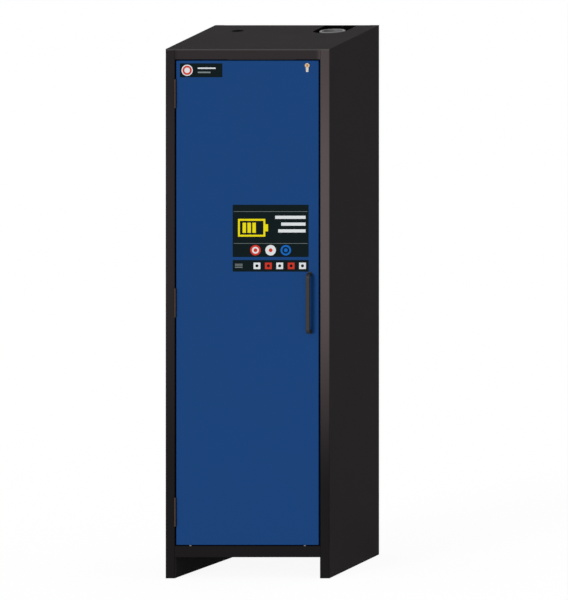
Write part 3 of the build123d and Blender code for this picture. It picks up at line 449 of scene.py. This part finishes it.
def bar_mask(x, z, middle, size):
    """1 inside a rectangle, 0 outside."""
    inside_x = (x - middle[0]).math("ABSOLUTE").math("LESS_THAN", size[0] / 2)
    inside_z = (z - middle[1]).math("ABSOLUTE").math("LESS_THAN", size[1] / 2)
    return inside_x * inside_z


def disc_mask(x, z, middle, radius):
    """1 inside a circle, 0 outside."""
    across, up = x - middle[0], z - middle[1]
    return (across * across + up * up).math("LESS_THAN", radius * radius)


def film_finish(name, prints):
    """A dark film; each print is a mask's kind, middle, size and ink, and later ones lie on top."""
    material, shader, place = start_finish(name, Specular_IOR_Level=0.02)
    x, _, z = axes(place)
    cloud = noise(place, 20.0)
    colour = mix(cloud, FILM_DARK, shade(FILM_DARK, 1.15))
    for kind, middle, size, ink in prints:
        mask = (bar_mask if kind == "bar" else disc_mask)(x, z, middle, size)
        colour = mix(mask, colour, ink)
    feed(shader,
         Base_Color=colour,
         Roughness=cloud * 0.06 + 0.32,
         Normal=bump(noise(place, 900.0), 0.06, 0.0001))
    return material


print("masks ready")

# %% Shape of a film
FILM_THICKNESS = 0.3 * MM
FILM_GLUE = 0.02 * MM        # gap to the door's face, so that the two never flicker
FILM_CORNER = 2.0 * MM
SAME = 1e-6                  # metres within which two places are the same


def film(name, middle, size, material):
    """A thin sheet on the door's face with rounded corners."""
    x, z = middle
    width, tall = size
    start_block((x - width / 2, front - FILM_THICKNESS, z - tall / 2),
                (x + width / 2, front - FILM_GLUE, z + tall / 2))
    pick_edges(lambda a, b: abs(a.x - b.x) < SAME and abs(a.z - b.z) < SAME)
    bevel(FILM_CORNER, 4)
    return settle(name, "door", material)


print("films are", round(FILM_THICKNESS / MM, 2), "mm thick")

# %% Large film: charge gauge, bars and three discs
BIG_MIDDLE, BIG_SIZE = (84.9 * MM, 1282.2 * MM), (277.4 * MM, 192.8 * MM)


def gauge(middle, size, ink, bars):
    """A battery outline with its terminal and some level bars."""
    x, z = middle
    width, tall = size
    rim = 0.07 * width
    prints = [("bar", (x, z), size, ink),
              ("bar", (x + 0.55 * width, z), (0.1 * width, 0.4 * tall), ink),
              ("bar", (x, z), (width - 2 * rim, tall - 2 * rim), FILM_DARK)]
    pitch = (width - 4 * rim) / 4
    for number in range(bars):
        bar_x = x - 1.5 * pitch + number * pitch
        prints.append(("bar", (bar_x, z), (0.7 * pitch, tall - 4 * rim), ink))
    return prints


def big_prints():
    """Two hairlines, the gauge, three bars and three discs, in shares of the film's size."""
    x, z = BIG_MIDDLE
    wide, tall = BIG_SIZE
    left, right, top, low = x - wide / 2, x + wide / 2, z + tall / 2, z - tall / 2
    hairline = (0.97 * wide, 0.006 * tall)
    prints = [("bar", (x, top - 0.13 * tall), hairline, INK_GREY),
              ("bar", (x, low + 0.26 * tall), hairline, INK_GREY)]
    prints += gauge((left + 0.25 * wide, z + 0.06 * tall), (0.36 * wide, 0.34 * tall),
                    INK_YELLOW, 3)
    for row, length in enumerate((0.40, 0.32, 0.36)):
        middle = (right - 0.04 * wide - length * wide / 2, top - (0.24 + 0.13 * row) * tall)
        prints.append(("bar", middle, (length * wide, 0.06 * tall), INK_WHITE))
    for number, ink in enumerate((INK_RED, INK_WHITE, INK_BLUE)):
        middle = (x + (number - 1) * 0.2 * wide, low + 0.13 * tall)
        prints.append(("disc", middle, 0.1 * tall, ink))
        prints.append(("disc", middle, 0.066 * tall, FILM_DARK if number == 2 else INK_WHITE))
        prints.append(("disc", middle, 0.036 * tall, INK_RED if number == 1 else ink))
    return prints


film("large_film", BIG_MIDDLE, BIG_SIZE, film_finish("large film", big_prints()))
print("large film with", len(big_prints()), "prints")

# %% Narrow film and corner film
LOW_MIDDLE, LOW_SIZE = (84.9 * MM, 1153.3 * MM), (277.4 * MM, 42.8 * MM)
CORNER_MIDDLE, CORNER_SIZE = (-169.0 * MM, 1874.8 * MM), (155.2 * MM, 51.3 * MM)


def low_prints():
    """Three short lines and five squares with a dark dot."""
    x, z = LOW_MIDDLE
    wide, tall = LOW_SIZE
    line = (0.1 * wide, 0.06 * tall)
    prints = [("bar", (x - 0.42 * wide, z + step * 0.14 * tall), line, INK_GREY)
              for step in (-1, 0, 1)]
    for number, ink in enumerate((INK_WHITE, INK_RED, INK_WHITE, INK_RED, INK_WHITE)):
        middle = (x + (number - 1.2) * 0.15 * wide, z)
        prints.append(("bar", middle, (0.09 * wide, 0.56 * tall), ink))
        prints.append(("disc", middle, 0.13 * tall, FILM_DARK))
    return prints


def corner_prints():
    """A ring and two bars."""
    x, z = CORNER_MIDDLE
    wide, tall = CORNER_SIZE
    ring = (x - 0.33 * wide, z)
    prints = [("disc", ring, 0.4 * tall, INK_WHITE), ("disc", ring, 0.33 * tall, INK_RED),
              ("disc", ring, 0.2 * tall, INK_WHITE)]
    for row, (length, ink) in enumerate(((0.42, INK_WHITE), (0.3, INK_GREY))):
        middle = (x - 0.08 * wide + length * wide / 2, z + (0.5 - row) * 0.3 * tall)
        prints.append(("bar", middle, (length * wide, 0.1 * tall), ink))
    return prints


film("narrow_film", LOW_MIDDLE, LOW_SIZE, film_finish("narrow film", low_prints()))
film("corner_film", CORNER_MIDDLE, CORNER_SIZE, film_finish("corner film", corner_prints()))
print("narrow and corner films")

# %% [markdown]
# ## Screws
# The rear sheet is screwed to the side panels' flanges. A pan head is a short cylinder whose rim is
# bevelled round, with a round socket pressed in: the top face is inset and pushed down. An array would
# tie the screws to one even row, so the head is modelled once and copied to a list of places, each copy
# with its own mesh, and the copies are joined.

# %% One screw, many places
SCREW_RADIUS, SCREW_HEIGHT, SCREW_ROUND = 4.2 * MM, 1.4 * MM, 0.8 * MM
SOCKET_RIM, SOCKET_DEPTH = 1.2 * MM, 0.8 * MM
NEAR_TOP = 0.9               # share of a height above which an edge counts as the upper rim
REAR_INSET, REAR_ROWS = 14 * MM, 7


def pan_head():
    """A pan head with its foot on z = 0, pointing up, with a round socket."""
    start_piece()
    bpy.ops.mesh.primitive_cylinder_add(vertices=24, radius=SCREW_RADIUS, depth=SCREW_HEIGHT,
                                        location=(0, 0, SCREW_HEIGHT / 2))
    bpy.ops.object.transform_apply(location=True)
    pick_edges(lambda a, b: min(a.z, b.z) > NEAR_TOP * SCREW_HEIGHT)
    bevel(SCREW_ROUND, 3)
    pick_faces(lambda normal: normal.z > 0.99)
    bpy.ops.mesh.inset(thickness=SOCKET_RIM)
    bpy.ops.mesh.extrude_region_move(TRANSFORM_OT_translate={"value": (0, 0, -SOCKET_DEPTH)})
    bpy.ops.object.mode_set(mode="OBJECT")
    return bpy.context.object


def screws(name, places, turn, body, material):
    """Copies the master screw to each place, all turned one way, and joins them to one piece."""
    master = pan_head()
    copies = []
    for place in places:
        copy = master.copy()
        copy.data = master.data.copy()
        bpy.context.scene.collection.objects.link(copy)
        copy.matrix_world = Matrix.Translation(place) @ turn
        copies.append(copy)
    bpy.data.objects.remove(master)
    start_piece()
    for copy in copies:
        copy.select_set(True)
    bpy.context.view_layer.objects.active = copies[0]
    bpy.ops.object.join()
    return settle(name, body, material)


towards_rear = Matrix.Rotation(math.radians(-90), 4, "X")
sheet_low, sheet_high = box_of["rear_panel"]
row_pitch = (sheet_high.z - sheet_low.z) / REAR_ROWS
rear_places = [(side * (half - REAR_INSET), sheet_high.y, sheet_low.z + (n + 0.5) * row_pitch)
               for side in (-1, 1) for n in range(REAR_ROWS)]
screws("rear_screws", rear_places, towards_rear, "cabinet", zinc_steel)
print(len(rear_places), "screws on the rear")

# %% [markdown]
# ## Glides under the door
# When the door shuts, its weight is taken over by two small plastic glides on the sill, near the two
# lower corners of the door. They show as two pale ticks in the dark gap. Each is a block whose upper
# edges are rounded, so that the door's edge rides up on it. A screw head would do the same but mark the
# coat. They stand a hair deep in the sill, so that no light passes under them.

# %% Two glides
GLIDE_INSET, GLIDE_SETBACK = 51 * MM, 2 * MM
GLIDE_SIZE, GLIDE_HEIGHT = (7 * MM, 22 * MM), 3.2 * MM
GLIDE_SUNK, GLIDE_ROUND = 0.1 * MM, 1.2 * MM
sill_top = box_of["sill"][1].z


def glide(name, x):
    """A rounded block on the sill, just behind the door's face."""
    low = Vector((x - GLIDE_SIZE[0] / 2, front + GLIDE_SETBACK, sill_top - GLIDE_SUNK))
    start_block(low, low + Vector((*GLIDE_SIZE, GLIDE_HEIGHT + GLIDE_SUNK)))
    pick_edges(lambda a, b: min(a.z, b.z) > sill_top + NEAR_TOP * GLIDE_HEIGHT)
    bevel(GLIDE_ROUND, 3)
    return settle(name, "cabinet", spigot_grey)


glide("glide_left", door_low.x + GLIDE_INSET)
glide("glide_right", door_high.x - GLIDE_INSET)
print("glides on the sill at", round(sill_top, 4))

# %% [markdown]
# ## Floor
# The cabinet stands on a pale floor that runs out to white. Stronger lamps would also make it white,
# but bleach the cabinet's colours. So the floor glows by itself, only for rays that show it as
# background, and a share of its lit surface is left in the mix to carry the cabinet's shadow.

# %% Pale floor
FLOOR_WIDTH = 40             # metres
FLOOR_GLOW = 1.09            # lifts the lit floor to white and leaves its shadow
WHITE_SHARE = 0.85           # of the glow against the lit surface


def background_rays(tree):
    """1 for rays that show the background: straight from the camera, mirrored or let through."""
    path = Wire(tree).node("ShaderNodeLightPath")
    kinds = ("Is Camera Ray", "Is Glossy Ray", "Is Transmission Ray")
    direct, mirrored, let_through = (path.sibling(kind) for kind in kinds)
    return direct.math("MAXIMUM", mirrored).math("MAXIMUM", let_through)


start_piece()
bpy.ops.mesh.primitive_plane_add(size=FLOOR_WIDTH)
floor = bpy.context.object
floor.name = "floor"
floor_finish, floor_shader, floor_place = start_finish("pale floor", Roughness=0.9,
                                                       Specular_IOR_Level=0.0)
feed(floor_shader,
     Base_Color=mix(noise(floor_place, 0.6), rgb(232, 232, 232), rgb(238, 238, 238)))
floor_tree = floor_finish.node_tree
lit_floor = Wire(floor_tree, floor_shader.outputs["BSDF"])
glow = lit_floor.node("ShaderNodeEmission", {}, {"Color": (1, 1, 1, 1), "Strength": FLOOR_GLOW})
blend = lit_floor.node("ShaderNodeMixShader", {},
                       enumerate((background_rays(floor_tree) * WHITE_SHARE, lit_floor, glow)))
floor_tree.links.new(blend.socket, floor_tree.nodes["Material Output"].inputs["Surface"])
floor.data.materials.append(floor_finish)
print("floor laid")

# %% [markdown]
# ## World and lamp
# A white sky lights the cabinet evenly, as in a tent of white cloth, and one broad lamp from the left
# front gives the front its lead over the sides. Together they stay at a level at which a colour comes
# out as it is written. As background the sky is pure white, as a light it is much weaker.

# %% World and lamp
AMBIENT = 0.48               # the sky's strength as a light; as background it is 1
KEY_STRENGTH = 1.6
KEY_SPREAD = math.radians(25)
KEY_PLACE, KEY_FROM = (-3, -4, 4), Vector((-0.36, -0.91, 0.2))
world = bpy.data.worlds.new("studio")
bpy.context.scene.world = world
world.use_nodes = True
sky = world.node_tree.nodes["Background"]
sky.inputs["Color"].default_value = (1, 1, 1, 1)
sky_strength = background_rays(world.node_tree) * (1 - AMBIENT) + AMBIENT
world.node_tree.links.new(sky_strength.socket, sky.inputs["Strength"])

start_piece()
bpy.ops.object.light_add(type="SUN", location=KEY_PLACE)
key = bpy.context.object
key.name = "key lamp"
key.data.energy = KEY_STRENGTH
key.data.angle = KEY_SPREAD
key.rotation_euler = KEY_FROM.to_track_quat("Z", "Y").to_euler()
print("lamp from", [round(v, 2) for v in KEY_FROM])

# %% [markdown]
# ## Camera
# The cabinet is shown in an oblique parallel view: its front stands square to the picture while its
# right side and top run off at a slant. A camera with perspective would make the edges meet in the
# distance, and a turned one would make the front lean. A parallel camera whose stand is skewed does
# neither: the stand's matrix keeps the picture's right along X and its up square to the view.

# %% An oblique parallel camera
TILT = math.radians(8.2)      # looking down
SLANT = 0.2966                # sideways run of a line that leads straight back
VIEW_HEIGHT = 2.193           # metres from the picture's bottom to its top
AIM = Vector((0.1337, front, 1.0272))
DISTANCE = 6.0                # metres from the aim, which a parallel view does not show
FAR_CLIP = 100

rise = (math.tan(TILT) / math.cos(TILT)) / (1 + SLANT ** 2 + math.tan(TILT) ** 2)
look_back = Vector((SLANT, -1, math.tan(TILT))).normalized()
look_up = Vector((-SLANT * rise, rise, (1 - rise * math.sin(TILT)) / math.cos(TILT))).normalized()
eye = AIM + look_back * DISTANCE
stand_matrix = Matrix(((1, look_up.x, look_back.x, eye.x),
                       (0, look_up.y, look_back.y, eye.y),
                       (0, look_up.z, look_back.z, eye.z),
                       (0, 0, 0, 1)))
stand = bpy.data.objects.new("camera stand", None)
bpy.context.scene.collection.objects.link(stand)
camera_data = bpy.data.cameras.new("camera")
camera_data.type = "ORTHO"
camera_data.ortho_scale = VIEW_HEIGHT
camera_data.clip_end = FAR_CLIP
camera = bpy.data.objects.new("camera", camera_data)
bpy.context.scene.collection.objects.link(camera)
camera.parent = stand
camera.matrix_parent_inverse = stand_matrix
bpy.context.scene.camera = camera
bpy.context.scene.view_settings.view_transform = "Standard"
print("camera aims at", [round(v, 3) for v in AIM])
